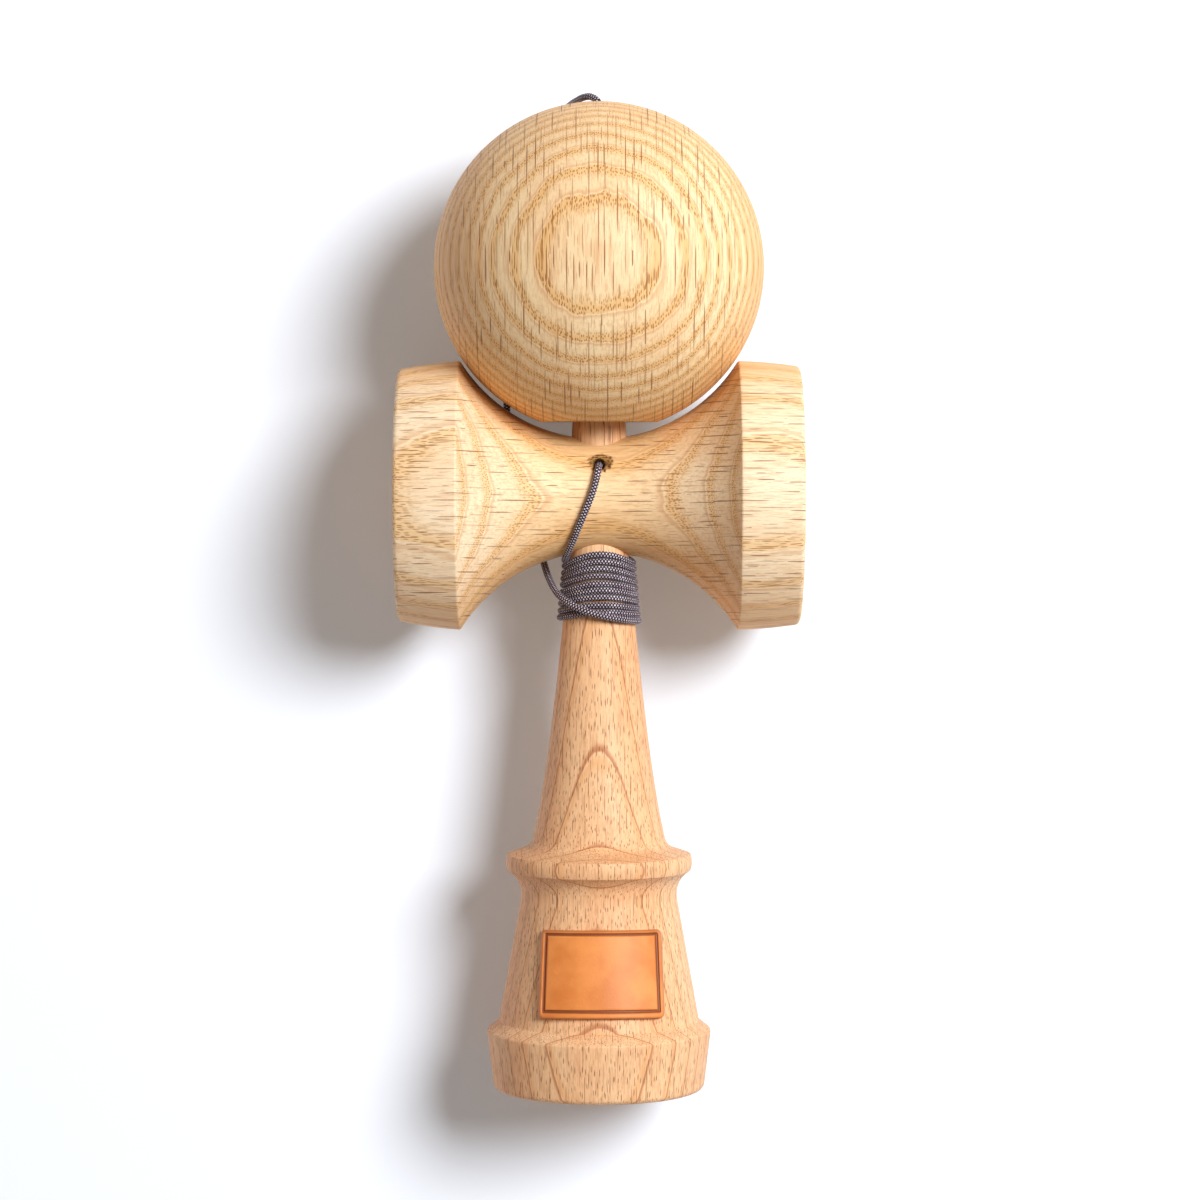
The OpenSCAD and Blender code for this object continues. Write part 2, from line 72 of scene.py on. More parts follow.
def laid(points, y, h):
    """Points [right, front, along the axis] of a piece that leans, as places on the table."""
    p = np.asarray(points, float)
    c, s = math.cos(LAY_TILT), math.sin(LAY_TILT)
    return np.stack([p[..., 0], y + p[..., 2] * c - p[..., 1] * s, h + p[..., 2] * s + p[..., 1] * c], -1)


def on_ken(points):
    return laid(points, CROSS_Y, AXIS_H)


def on_ball(points):
    return laid(points, BALL_Y, BALL_R)


# Plane outlines


def unit(v):
    return v / np.linalg.norm(v)


def round_points(a, p, b, r, steps):
    """Round of radius r at corner p, from the side of a to the side of b."""
    ua, ub = unit(a - p), unit(b - p)
    half = math.acos(float(np.clip(ua @ ub, -1, 1))) / 2
    middle = p + unit(ua + ub) * r / math.sin(half)
    first = p + ua * r / math.tan(half) - middle
    last = p + ub * r / math.tan(half) - middle
    sweep = math.atan2(first[0] * last[1] - first[1] * last[0], float(first @ last))
    out = []
    for i in range(steps + 1):
        t = sweep * i / steps
        out.append(middle + np.array([first[0] * math.cos(t) - first[1] * math.sin(t),
                                      first[0] * math.sin(t) + first[1] * math.cos(t)]))
    return out


def rounded(corners, steps=6):
    """Open outline through corners (x, y, radius of the round there)."""
    c = [(np.array(k[:2], float), k[2]) for k in corners]
    out = []
    for i, (p, r) in enumerate(c):
        if r == 0 or i in (0, len(c) - 1):
            out.append(p)
        else:
            out.extend(round_points(c[i - 1][0], p, c[i + 1][0], r, steps))
    return np.array(out)


def curve(a, b, c, steps):
    """Points from a to c on the curve that is drawn towards b."""
    a, b, c = (np.array(k, float) for k in (a, b, c))
    s = np.linspace(0, 1, steps + 1)[:, None]
    return (1 - s) ** 2 * a + 2 * s * (1 - s) * b + s * s * c


def dish(rim, depth, steps=26):
    """Points (radius, depth in from the rim) of a round dish, from its deepest point to its rim."""
    r = (rim * rim + depth * depth) / (2 * depth)
    a = np.linspace(0, math.asin(rim / r), steps + 1)
    return np.stack([r * np.sin(a), depth - r * (1 - np.cos(a))], 1)


def sharp(points):
    return [(p[0], p[1], 0) for p in points]


# Meshes


def mesh_piece(name, points, quads, caps=(), attributes=None):
    """Mesh object from points in millimetres, an array of quads and a list of end faces."""
    points = np.asarray(points, float)
    quads = np.asarray(quads, np.int64)
    loops = [quads.ravel()] + [np.array(c) for c in caps]
    counts = np.concatenate([np.full(len(quads), 4), np.array([len(c) for c in caps], int)]).astype(np.int32)
    starts = np.concatenate([[0], np.cumsum(counts)[:-1]]).astype(np.int32)
    corners = np.concatenate(loops).astype(np.int32)
    me = bpy.data.meshes.new(name)
    me.vertices.add(len(points))
    me.vertices.foreach_set("co", (points * MM).astype(np.float32).ravel())
    me.loops.add(len(corners))
    me.loops.foreach_set("vertex_index", corners)
    me.polygons.add(len(counts))
    me.polygons.foreach_set("loop_start", starts)
    me.update(calc_edges=True)
    me.validate()
    for key, values in (attributes or {}).items():
        me.attributes.new(key, "FLOAT", "POINT").data.foreach_set("value", np.asarray(values, np.float32))
    me.shade_smooth()
    ob = bpy.data.objects.new(name, me)
    bpy.context.scene.collection.objects.link(ob)
    return ob


def crisp(ob, degrees=32):
    """Marks the edges that turn more sharply than that, so that they stay crisp under smooth shading."""
    ob.data.set_sharp_from_angle(angle=math.radians(degrees))
    return ob


def grid_quads(rows, columns, flip=False):
    """Quads of a grid whose columns close into a ring."""
    i = np.arange(rows - 1)[:, None] * columns
    k = np.arange(columns)[None, :]
    n = (k + 1) % columns
    q = np.stack([i + k, i + n, i + columns + n, i + columns + k], -1).reshape(-1, 4)
    return q[:, ::-1] if flip else q


def lathe(name, outline, place, segments, axis="up"):
    """Turned piece from an outline (radius, distance along its axis) whose ends lie on the axis.

    The axis is that of the handle ("up") or that of the cups ("across").
    """
    ring = outline[1:-1]
    a = np.linspace(0, 2 * math.pi, segments, endpoint=False)
    r, h = ring[:, 0][:, None], ring[:, 1][:, None]
    one = np.ones_like(a)[None, :]
    if axis == "up":
        p = np.stack([r * np.sin(a), r * np.cos(a), h * one], -1)
    else:
        p = np.stack([h * one, r * np.cos(a), r * np.sin(a)], -1)
    p = p.reshape(-1, 3)
    start, stop = outline[0][1], outline[-1][1]
    ends = [[0, 0, start], [0, 0, stop]] if axis == "up" else [[start, 0, 0], [stop, 0, 0]]
    count = len(p)
    points = place(np.concatenate([p, ends]))
    quads = grid_quads(len(ring), segments, flip=True)
    first = [(count, k, (k + 1) % segments) for k in range(segments)]
    base = (len(ring) - 1) * segments
    last = [(count + 1, base + (k + 1) % segments, base + k) for k in range(segments)]
    ob = mesh_piece(name, points, quads, first + last)
    recalc(ob)
    return ob


def recalc(ob):
    bm = bmesh.new()
    bm.from_mesh(ob.data)
    bmesh.ops.recalc_face_normals(bm, faces=bm.faces)
    bm.to_mesh(ob.data)
    bm.free()


def cut(ob, cutter):
    """Cuts the cutter out of a piece and deletes it."""
    m = ob.modifiers.new("cut", "BOOLEAN")
    m.operation = "DIFFERENCE"
    m.solver = "EXACT"
    m.object = cutter
    dg = bpy.context.evaluated_depsgraph_get()
    made = bpy.data.meshes.new_from_object(ob.evaluated_get(dg))
    ob.modifiers.clear()
    old = ob.data
    ob.data = made
    bpy.data.meshes.remove(old)
    bpy.data.objects.remove(cutter)
    ob.data.shade_smooth()


# Camera, light and floor

camera = bpy.data.objects.new("camera", bpy.data.cameras.new("camera"))
camera.location = (0.00018, 0.000125, 0.7)
camera.data.sensor_width = 36
camera.data.lens = 110.55
camera.data.clip_start = 0.01
camera.data.clip_end = 20
bpy.context.scene.collection.objects.link(camera)
bpy.context.scene.camera = camera
bpy.context.scene.view_settings.view_transform = "Standard"


def lamp(name, towards, distance, size, power, colour):
    data = bpy.data.lights.new(name, "AREA")
    data.shape = "DISK"
    data.size = size
    data.energy = power
    data.color = colour
    ob = bpy.data.objects.new(name, data)
    d = Vector(towards).normalized()
    ob.location = d * distance
    ob.rotation_mode = "QUATERNION"
    ob.rotation_quaternion = (-d).to_track_quat("-Z", "Y")
    bpy.context.scene.collection.objects.link(ob)


lamp("key", (0.59, 0.36, 1.0), 1.3, 0.56, 21.4, (0.985, 1.0, 1.035))
lamp("bounce", (-1.0, -0.4, 0.12), 1.1, 0.5, 1.5, (1.0, 0.52, 0.28))


# Node trees


class Web:
    """Short way to write the nodes of a material or a world: constants and sockets are given alike."""

    def __init__(self, owner):
        self.owner = owner
        owner.use_nodes = True
        self.tree = owner.node_tree
        self.tree.nodes.clear()

    def add(self, kind, inputs=None, **settings):
        n = self.tree.nodes.new(kind)
        for k, v in settings.items():
            setattr(n, k, v)
        for k, v in (inputs or {}).items():
            self.put(n.inputs[k], v)
        return n

    def put(self, socket, value):
        if isinstance(value, bpy.types.NodeSocket):
            self.tree.links.new(value, socket)
        elif socket.type == "RGBA":
            socket.default_value = (*value, 1.0)
        else:
            socket.default_value = value

    def math(self, operation, *values, clamp=False):
        n = self.add("ShaderNodeMath", operation=operation, use_clamp=clamp)
        for i, v in enumerate(values):
            self.put(n.inputs[i], v)
        return n.outputs[0]

    def step(self, value, low, high):
        """Smooth step from 0 at low to 1 at high; low above high falls instead."""
        n = self.add("ShaderNodeMapRange", interpolation_type="SMOOTHSTEP")
        lo, hi, a, b = (low, high, 0.0, 1.0)
        if not isinstance(low, bpy.types.NodeSocket) and low > high:
            lo, hi, a, b = (high, low, 1.0, 0.0)
        for k, v in (("Value", value), ("From Min", lo), ("From Max", hi), ("To Min", a), ("To Max", b)):
            self.put(n.inputs[k], v)
        return n.outputs[0]

    def mix(self, share, a, b, mode="MIX"):
        n = self.add("ShaderNodeMix", data_type="RGBA", blend_type=mode)
        for i, v in ((0, share), (6, a), (7, b)):
            self.put(n.inputs[i], v)
        return n.outputs[2]

    def join(self, x, y, z):
        return self.add("ShaderNodeCombineXYZ", {"X": x, "Y": y, "Z": z}).outputs[0]

    def split(self, vector):
        n = self.add("ShaderNodeSeparateXYZ", {"Vector": vector})
        return n.outputs[0], n.outputs[1], n.outputs[2]

    def noise(self, vector, scale, detail=2.0, rough=0.5, out=0):
        return self.add("ShaderNodeTexNoise", {"Vector": vector, "Scale": scale, "Detail": detail,
                                               "Roughness": rough}).outputs[out]

    def surface(self, colour, rough, bump, specular):
        """Finished material from its colour, roughness, bump node and strength of gloss."""
        bsdf = self.add("ShaderNodeBsdfPrincipled", {
            "Base Color": colour, "Roughness": rough, "Normal": bump.outputs[0],
            "Specular IOR Level": specular})
        return self.finish(bsdf.outputs[0])

    def finish(self, surface, kind="ShaderNodeOutputMaterial"):
        self.add(kind, {"Surface": surface})
        return self.owner


def new_look(name):
    return Web(bpy.data.materials.new(name))


def seen_share(w):
    """1 for rays that show the background as it looks: those of the camera, gloss and glass."""
    path = w.add("ShaderNodeLightPath")
    share = w.math("MAXIMUM", path.outputs["Is Camera Ray"], path.outputs["Is Glossy Ray"])
    return w.math("MAXIMUM", share, path.outputs["Is Transmission Ray"])


def floor_material():
    w = new_look("floor")
    plain = w.add("ShaderNodeBsdfDiffuse", {"Color": (0.825, 0.865, 0.925)})
    strength = w.math("MULTIPLY", seen_share(w), 0.12)
    glow = w.add("ShaderNodeEmission", {"Color": (1.0, 0.975, 0.945), "Strength": strength})
    both = w.add("ShaderNodeAddShader", {0: plain.outputs[0], 1: glow.outputs[0]})
    return w.finish(both.outputs[0])


def make_world():
    """Soft fill light that looks white to the camera."""
    world = bpy.data.worlds.new("studio")
    bpy.context.scene.world = world
    w = Web(world)
    light = w.add("ShaderNodeBackground", {"Color": (1.0, 0.94, 0.89), "Strength": 0.19})
    white = w.add("ShaderNodeBackground", {"Color": (1.0, 1.0, 1.0), "Strength": 1.0})
    both = w.add("ShaderNodeMixShader", {0: seen_share(w), 1: light.outputs[0], 2: white.outputs[0]})
    w.finish(both.outputs[0], "ShaderNodeOutputWorld")


make_world()
floor_mesh = bpy.data.meshes.new("floor")
FAR = 30
floor_mesh.from_pydata([(-FAR, -FAR, 0), (FAR, -FAR, 0), (FAR, FAR, 0), (-FAR, FAR, 0)], [], [(0, 1, 2, 3)])
floor = bpy.data.objects.new("floor", floor_mesh)
bpy.context.scene.collection.objects.link(floor)
floor_mesh.materials.append(floor_material())


# String

GRIP = curve(GRIP_FOOT, GRIP_PULL, SEAT_LOW, 64)
POCKET_FLOOR = -1.91
LEAD_RISE = 5.6
WOUND_TURNS = 9.5
TURN_RINGS = 48
WOUND_D = 0.72
WOUND_START, WOUND_PITCH = -10.7, 1.24
WAVE, WAVE_FADE = 1.08, 0.066
KNOT_HALF = 1.45
BALL_KNOT_SEAT = 9.16862
BALL_KNOT_TOP = BALL_KNOT_SEAT + 2 * KNOT_HALF
BALL_HOLE_TOP = 28.0
ROUTE_STEPS = 12

LEAD_ROUTE = [
    (0, 6, 5.6), (-0.1, 9.8, 5), (-0.5, 11, 3), (-1.2, 11.5, 0.6), (-2.2, 11.4, -2),
    (-3.4, 10.5, -4.9), (-4.6, 8.8, -7.8), (-5.6, 6.4, -10.2), (-6.2, 3.4, -11.6),
]
CROSS_OVER_ROUTE = [
    (6.6, 3.5, -22.8), (4.5, 6.2, -22.5), (2, 7.8, -22), (-0.6, 8.4, -21.4), (-3, 8.2, -20.6),
    (-5.2, 7, -19.6), (-7, 5, -18.4), (-8.2, 2.4, -17), (-9.3, -1.8, -15), (-10.2, -6.2, -12.6),
    (-11.1, -10.8, -9),
]
TABLE_ROUTE = [
    (-12.5, 16, 9.9), (-14.4, 22, 5), (-16.2, 28, 1.8), (-17.4, 35, 0.7), (-17.5, 43, 0.7),
    (-17, 51, 0.7), (-16.4, 59, 0.7), (-15.8, 67, 0.7), (-14.7, 74.5, 0.7), (-12.9, 81, 0.8),
    (-10.6, 85.8, 1.5), (-8.4, 88.9, 3.6),
]
BALL_END_ROUTE = [
    (-6.6, -22.2, 30.2), (-5.2, -16, 31), (-4.2, -9.4, 31), (-2.9, -4.6, 31.2), (-1.5, -2, 31.1),
    (-0.3, -0.4, 30.2), (0, 0, 29.3), (0, 0, 28.4),
]


def wound_point(s):
    """Centre of the string after s turns round the neck."""
    a = math.radians(-90 - 360 * s)
    wave = WAVE * (1 - WAVE_FADE * s)
    w = WOUND_START - WOUND_PITCH * s + wave * math.cos(2 * a)
    r = float(np.interp(CROSS_H + w, GRIP[:, 1], GRIP[:, 0])) + STRING_D / 2
    return np.array([r * math.sin(a), r * math.cos(a), w])


def spline(route, steps):
    """Smooth curve through a route."""
    p = np.asarray(route, float)
    p = np.concatenate([[2 * p[0] - p[1]], p, [2 * p[-1] - p[-2]]])
    out = []
    for i in range(1, len(p) - 2):
        a, b, c, d = p[i - 1:i + 3]
        for k in range(steps):
            s = k / steps
            square, cube = 2 * a - 5 * b + 4 * c - d, 3 * b - a - 3 * c + d
            out.append(b + ((c - a) * s + square * s ** 2 + cube * s ** 3) / 2)
    out.append(p[-2])
    return np.array(out)


def string_route():
    """Line of the whole string, from its knot in the handle to its knot in the ball."""
    turns = np.array([wound_point(i / TURN_RINGS) for i in range(int(WOUND_TURNS * TURN_RINGS) + 1)])
    first = turns[0] + unit(turns[0] - turns[1]) * WOUND_D
    last = turns[-1] + unit(turns[-1] - turns[-2]) * WOUND_D
    turn = np.arange(len(turns)) / TURN_RINGS
    free = np.interp(turn, (0, 0.5, WOUND_TURNS - 0.5, WOUND_TURNS), (0, 1, 1, 0))
    turns[:, 2] += free * (0.07 * np.sin(4.6 * turn + 1) + 0.05 * np.sin(2.1 * turn))
    lead = spline([(0, POCKET_FLOOR, LEAD_RISE), *LEAD_ROUTE, first], ROUTE_STEPS)
    run = spline(np.concatenate([[on_ken(last)], on_ken(CROSS_OVER_ROUTE), TABLE_ROUTE,
                                 on_ball(BALL_END_ROUTE)]), ROUTE_STEPS)
    end = on_ball([(0, 0, h) for h in np.linspace(BALL_HOLE_TOP, BALL_KNOT_TOP, 60)])
    return np.concatenate([on_ken(lead), on_ken(turns), run, end])


def even(points, spacing):
    """The same line with points at even distances."""
    d = np.concatenate([[0], np.cumsum(np.linalg.norm(np.diff(points, axis=0), axis=1))])
    keep = np.concatenate([[True], np.diff(d) > 1e-6])
    d, points = d[keep], points[keep]
    s = np.linspace(0, d[-1], max(2, int(round(d[-1] / spacing)) + 1))
    return np.stack([np.interp(s, d, points[:, k]) for k in range(3)], 1), s


def sides_along(path):
    """Two directions across the path at each point, carried along without twist."""
    t = np.gradient(path, axis=0)
    t /= np.linalg.norm(t, axis=1)[:, None]
    side = np.zeros_like(t)
    v = np.cross(t[0], [0.3, 0.5, 0.81])
    for i in range(len(t)):
        v = v - (v @ t[i]) * t[i]
        v = v / math.sqrt(v @ v)
        side[i] = v
    return side, np.cross(t, side)


STRANDS = 4
STITCH = 0.56
STRAND_MEAN_HEIGHT = 0.72
BRAID_R = STRING_D / 2 - 0.05
LEAD_LENGTH = 36.0
WOUND_LENGTH = 402.1


def tight_radius(s):
    """Radius along the string, which is a little thinner where it is pulled tight round the neck."""
    end = LEAD_LENGTH + WOUND_LENGTH
    tight = np.interp(s, (LEAD_LENGTH - 5, LEAD_LENGTH + 8, end - 30, end - 8), (0, 1, 1, 0))
    return BRAID_R * (1 - 0.07 * tight)


def braid_height(s, phi):
    """Height of a plain braid of two families of strands, from 0 in the gaps to 1 on the crests."""
    def family(own, other, flip):
        index = np.round(own / (2 * math.pi))
        across = (own - 2 * math.pi * index) / math.pi
        over = np.cos(other / 2) * np.where((index + flip) % 2 < 0.5, 1, -1)
        return 0.55 * np.sqrt(np.clip(1 - (across * 0.98) ** 2, 0, 1)) + 0.45 * (0.5 + 0.5 * over)
    turn = 2 * math.pi * s / STITCH
    a, b = STRANDS * phi + turn, STRANDS * phi - turn
    return np.maximum(family(a, b, 0), family(b, a, 1))


def braid_tube(name, path, s, radius=BRAID_R, sides=24, relief=0.17):
    """Braided round string along a path of even points; the radius is one number or one for each point."""
    side, up = sides_along(path)
    phi = np.linspace(0, 2 * math.pi, sides, endpoint=False)
    height = braid_height(s[:, None], phi[None, :])
    r = np.reshape(radius, (-1, 1)) + relief * (height - STRAND_MEAN_HEIGHT)
    p = path[:, None, :] + r[..., None] * (side[:, None, :] * np.cos(phi)[None, :, None]
                                           + up[:, None, :] * np.sin(phi)[None, :, None])
    count = len(path) * sides
    caps = [list(range(sides))[::-1], list(range(count - sides, count))]
    return mesh_piece(name, p.reshape(-1, 3), grid_quads(len(path), sides), caps, {"height": height.ravel()})


string_path, string_s = even(string_route(), 0.075)
string = braid_tube("string", string_path, string_s, tight_radius(string_s))

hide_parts("string_lead", "string_winding", "string_run", "string_end")
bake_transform(string)


def knot_path(scale, rise):
    """Overhand knot: a closed line that goes over and under itself three times."""
    t = np.linspace(0, 2 * math.pi, 260)
    return np.stack([scale * (np.sin(t) + 2 * np.sin(2 * t)), scale * (np.cos(t) - 2 * np.cos(2 * t)),
                     -rise * np.sin(3 * t)], 1)


def knot_piece(name, place):
    path, s = even(place(knot_path(0.4, 0.72)), 0.085)
    return braid_tube(name, path, s)


ken_knot = knot_piece("ken_knot_tied", lambda p: on_ken(
    np.stack([p[:, 0], POCKET_FLOOR - KNOT_HALF + p[:, 2], LEAD_RISE + p[:, 1]], 1)))
ball_knot = knot_piece("ball_knot_tied", lambda p: on_ball(
    np.stack([p[:, 0], p[:, 1], BALL_KNOT_SEAT + KNOT_HALF + p[:, 2]], 1)))
for piece, node, body in ((ken_knot, "ken_knot", "ken"), (ball_knot, "ball_knot", "bead")):
    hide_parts(node)
    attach(piece, body)


def string_material():
    w = new_look("string_braid")
    height = w.add("ShaderNodeAttribute", attribute_name="height").outputs["Fac"]
    co = w.add("ShaderNodeTexCoord").outputs["Object"]
    fuzz_and_glint = w.noise(co, 6500.0, 2.0, 0.6)
    tone = w.noise(co, 420.0, 2.0)
    # Crest colour: partly the thread's own colour, partly painted highlight on the strand tops.
    crest = w.mix(w.step(tone, 0.35, 0.7), (0.56, 0.48, 0.56), (0.84, 0.76, 0.85))
    # Painted highlight: specks of the fibre noise are painted nearly white as glints.
    crest = w.mix(w.math("MULTIPLY", w.step(fuzz_and_glint, 0.45, 0.75), 0.5), crest, (0.86, 0.82, 0.86))
    # Painted shade: the sides and gaps between strands are painted near-black; only the crests keep the
    # lighter colour.
    colour = w.mix(w.step(height, 0.84, 0.97), (0.020, 0.010, 0.013), crest)
    bump = w.add("ShaderNodeBump", {"Height": fuzz_and_glint, "Strength": 0.35, "Distance": 0.00006})
    return w.surface(colour, 0.5, bump, 0.2)


string_look = string_material()
for piece in (string, ken_knot, ball_knot):
    piece.data.materials.append(string_look)


# Turned pieces

SEGMENTS = 160


def ken_outline():
    cup_r, cup_depth, tip_r = 16, 8, 2.4
    grip = curve(GRIP_FOOT, GRIP_PULL, SEAT_LOW, 60)
    hollow = curve(BARREL_TOP, HOLLOW_PULL, RING_LOW, 18)
    ring = curve(RING_LOW, RING_PULL, RING_HIGH, 18)
    tip = [(tip_r * math.cos(a), KEN_H - tip_r + tip_r * math.sin(a))
           for a in np.linspace(0, math.pi / 2, 14)]
    corners = (
        sharp(dish(cup_r, cup_depth)[:-1])
        + [(cup_r, 0, 0.6), (19.3, 0, 1.2), (20.6, 10.9, 0.7), (*BARREL_FOOT, 0.25), (*BARREL_TOP, 0)]
        + sharp(hollow[1:-1])
        + [(*RING_LOW, 0.15)]
        + sharp(ring[1:-1])
        + [(*RING_HIGH, 0.15), (*GRIP_FOOT, 2.6)]
        + sharp(grip[3:-1])
        + [(*SEAT_LOW, 0), (*SEAT_TOP, 0)]
        + sharp(tip)
    )
    out = rounded(corners)
    out[:, 1] -= CROSS_H
    return refine(out, 1.2)


def refine(outline, most):
    """Extra points on the long straight stretches of an outline."""
    out = [outline[0]]
    for a, b in zip(outline[:-1], outline[1:]):
        n = max(1, int(math.ceil(np.linalg.norm(b - a) / most)))
        out.extend(a + (b - a) * i / n for i in range(1, n + 1))
    return np.array(out)


def sarado_outline():
    edge_x, edge_r, half, swell = 25.4, 24.6, 36.7, 0.2
    arc_r = (edge_x ** 2 + (edge_r - WAIST_R) ** 2) / (2 * (edge_r - WAIST_R))
    a = np.linspace(math.asin(edge_x / arc_r), 0, 61)
    waist = np.stack([WAIST_R + arc_r * (1 - np.cos(a)), arc_r * np.sin(a)], 1)

    def side(cup_r, cup_depth, rim_r):
        pull = ((rim_r + edge_r) / 2 + 2 * swell, (half + edge_x) / 2)
        band = curve((rim_r, half), pull, (edge_r, edge_x), 10)
        return (
            sharp([(p[0], half - p[1]) for p in dish(cup_r, cup_depth)[:-1]])
            + [(cup_r, half, 0.6), (rim_r, half, 1.0)]
            + sharp(band[1:-1])
            + [(edge_r, edge_x, 0.5)]
            + sharp(waist[1:-1])
        )
    right = side(18, 8, 23.6)
    left = [(c[0], -c[1], c[2]) for c in reversed(side(20.5, 10, 23))]
    return rounded(right + [(WAIST_R, 0, 0)] + left)


def tama_outline():
    mouth_r, mouth_h, bore_r, bore_end = 10.7, -28.027, 10.2, 13.973
    hole_r, hole_mouth_r, hole_mouth_h = 1.3, 2.4, 29.9038
    hole_start = bore_end + (bore_r - hole_r) / math.tan(math.radians(59))
    a = np.linspace(math.atan2(mouth_r, mouth_h), math.atan2(hole_mouth_r, hole_mouth_h), 110)
    ball = [(BALL_R * math.sin(k), BALL_R * math.cos(k)) for k in a]
    inside = [(bore_r, mouth_h + 0.5), (bore_r, bore_end),
              (hole_r, hole_start), (hole_r, hole_mouth_h - 1.1)]
    return np.array(ball), np.array(inside)


def ball_piece():
    """Ball with its bore and string hole, as one closed ring of outline turned round the bore's axis."""
    ball, inside = tama_outline()
    inside = refine(np.concatenate([ball[:1], inside, ball[-1:]]), 1.5)[1:-1]
    loop = np.concatenate([ball, inside[::-1]])
    a = np.linspace(0, 2 * math.pi, SEGMENTS, endpoint=False)
    r, h = loop[:, 0][:, None], loop[:, 1][:, None]
    p = np.stack([r * np.sin(a), r * np.cos(a), h * np.ones_like(a)[None, :]], -1)
    count = len(loop)
    quads = grid_quads(count + 1, SEGMENTS) % (count * SEGMENTS)
    ob = mesh_piece("ball", on_ball(p.reshape(-1, 3)), quads)
    recalc(ob)
    return crisp(ob)


ken = crisp(lathe("handle", ken_outline(), on_ken, SEGMENTS))
sarado = lathe("cross_piece", sarado_outline(), on_ken, SEGMENTS, axis="across")
ball = ball_piece()


def seat_cutter():
    """Tapered seat of the handle, a hair wider than the handle and a little longer than the waist."""
    gap, past = 0.02, 2.0
    half = SEAT_HALF + past
    slope = (SEAT_TOP[0] - SEAT_LOW[0]) / (2 * SEAT_HALF)
    low, top = SEAT_LOW[0] + gap - past * slope, SEAT_TOP[0] + gap + past * slope
    return lathe("seat_cut", np.array([(0, -half), (low, -half), (top, half), (0, half)]), on_ken, SEGMENTS)


def hole_cutter(segments=72):
    """String hole with a mouth that is worn and torn at the right and the top."""
    a = np.linspace(0, 2 * math.pi, segments, endpoint=False)
    rng = np.random.default_rng(7)
    ragged = np.zeros(segments)
    for k in range(2, 15):
        ragged += rng.normal() / k ** 0.7 * np.cos(k * a + rng.uniform(0, 2 * math.pi))
    ragged = 0.16 * ragged
    face = math.sqrt(WAIST_R ** 2 - LEAD_RISE ** 2)
    torn = 0.55 + 0.45 * np.sin(a) + 0.35 * np.exp(-(np.angle(np.exp(1j * (a - 0.3))) / 0.6) ** 2)
    rows = [(0.95, 0.0, 0.0), (0.95, face - 1.5, 0.0), (1.0, face - 0.8, 0.25), (1.1, face - 0.45, 0.8),
            (1.15, face - 0.12, 1.25), (1.2, face + 0.8, 1.6)]
    p = []
    for r, y, share in rows:
        rr = r + share * np.maximum(ragged * 0.8 + torn, -0.05)
        p.append(np.stack([rr * np.cos(a), np.full(segments, y), LEAD_RISE + rr * np.sin(a)], 1))
    p = np.array(p)
    count = len(rows) * segments
    caps = [list(range(segments))[::-1], list(range(count - segments, count))]
    ob = mesh_piece("hole_cut", on_ken(p.reshape(-1, 3)), grid_quads(len(rows), segments), caps)
    recalc(ob)
    return ob


cut(sarado, seat_cutter())
cut(sarado, hole_cutter())
crisp(sarado)

for piece, node, body, slot in ((ken, "ken", "ken", "handle_wood"), (sarado, "sarado", "ken", "cross_wood"),
                                (ball, "tama", "tama", "ball_wood")):
    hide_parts(node)
    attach(piece, body)


# Leather patch

PATCH_LOW_W, PATCH_TOP_W, PATCH_LOW, PATCH_TOP = 23.0, 21.8, 15.5, 31.1
PATCH_SAG, PATCH_SHIFT, PATCH_T, PATCH_ROUND = 0.4, 0.4, 1.3, 1.0
BARREL_SLOPE = (BARREL_TOP[0] - BARREL_FOOT[0]) / (BARREL_TOP[1] - BARREL_FOOT[1])
EDGE_ROLL, GLUE_GAP = 0.55, 0.02
LINE_HALF, LINE_DEEP, FIELD_DEEP = 0.3, 0.38, 0.12


def barrel_radius(h):
    return BARREL_FOOT[0] + BARREL_SLOPE * (h - BARREL_FOOT[1])


def border_line(x, h):
    """Distance from the middle of the pressed border line, whose corners are sharp."""
    inset, lift = 1.0, 0.35
    low, top = PATCH_LOW + inset + lift, PATCH_TOP - inset + lift
    share = (h - PATCH_LOW) / (PATCH_TOP - PATCH_LOW)
    half = (PATCH_LOW_W + (PATCH_TOP_W - PATCH_LOW_W) * share) / 2 - inset
    dx, dh = np.abs(x) - half, np.abs(h - (low + top) / 2) - (top - low) / 2
    return np.where((dx < 0) & (dh < 0), np.maximum(dx, dh), np.hypot(np.maximum(dx, 0), np.maximum(dh, 0)))


def patch_lines(half):
    """Places of the grid's lines across half of the patch: close together near its edge."""
    edge = np.concatenate([[0, 0.02, 0.06, 0.12, 0.2, 0.3, 0.41, 0.53], np.arange(0.62, 1.75, 0.075)])
    inner = np.linspace(0, half - 1.8, max(4, int((half - 1.8) / 0.3)))
    return np.concatenate([inner, (half - edge)[::-1]])


